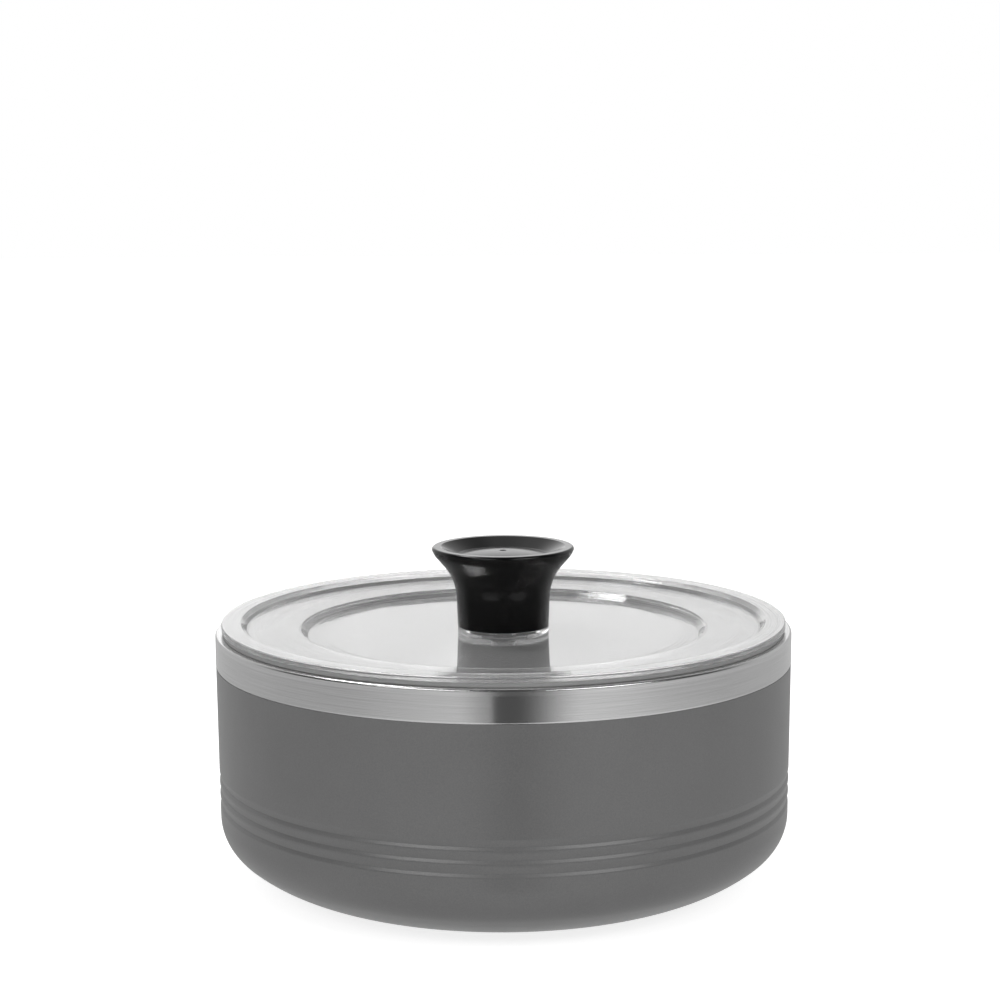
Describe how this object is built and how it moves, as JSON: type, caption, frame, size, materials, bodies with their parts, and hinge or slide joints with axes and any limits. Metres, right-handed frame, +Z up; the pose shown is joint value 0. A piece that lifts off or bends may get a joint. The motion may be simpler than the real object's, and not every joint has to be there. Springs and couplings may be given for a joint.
{
  "type": "lidded serving bowl",
  "caption": "Round double-walled steel serving bowl with a bare rim band, grey textured coat and rolled grooves, closed by a clear stepped lift-off lid with a flared black knob.",
  "frame": {"origin": "centre of the face that the bowl stands on", "axes": "+Z up along the common axis of bowl, lid and knob, +X to the right and +Y away in the picture"},
  "size_m": [0.1908, 0.1908, 0.11],
  "materials": {
    "brushed_steel": "stainless steel brushed round the axis",
    "grey_coat": "fine-textured satin grey powder coat",
    "braze": "dull grey solder bead",
    "getter": "sintered grey metal",
    "clear_plastic": "clear moulded plastic, polished",
    "silicone": "translucent matt silicone",
    "black_plastic": "satin black moulded plastic",
    "brass": "turned brass",
    "screw_steel": "plain stainless steel"
  },
  "bodies": {
    "bowl": {"outer_shell": "brushed_steel", "powder_coat": "grey_coat", "inner_bowl": "brushed_steel", "base_cover": "brushed_steel", "port_seal": "braze", "getter_pellet": "getter", "getter_clip": "brushed_steel"},
    "lid": {"lid_plate": "clear_plastic", "lid_gasket": "silicone", "knob": "black_plastic", "knob_insert": "brass", "knob_screw": "screw_steel", "screw_washer": "screw_steel", "washer_seal": "silicone"}
  },
  "joints": [
    {"name": "lid_lift", "type": "slide", "parent": "bowl", "child": "lid", "axis": [0, 0, 1], "range_m": [0, 0.15]}
  ]
}
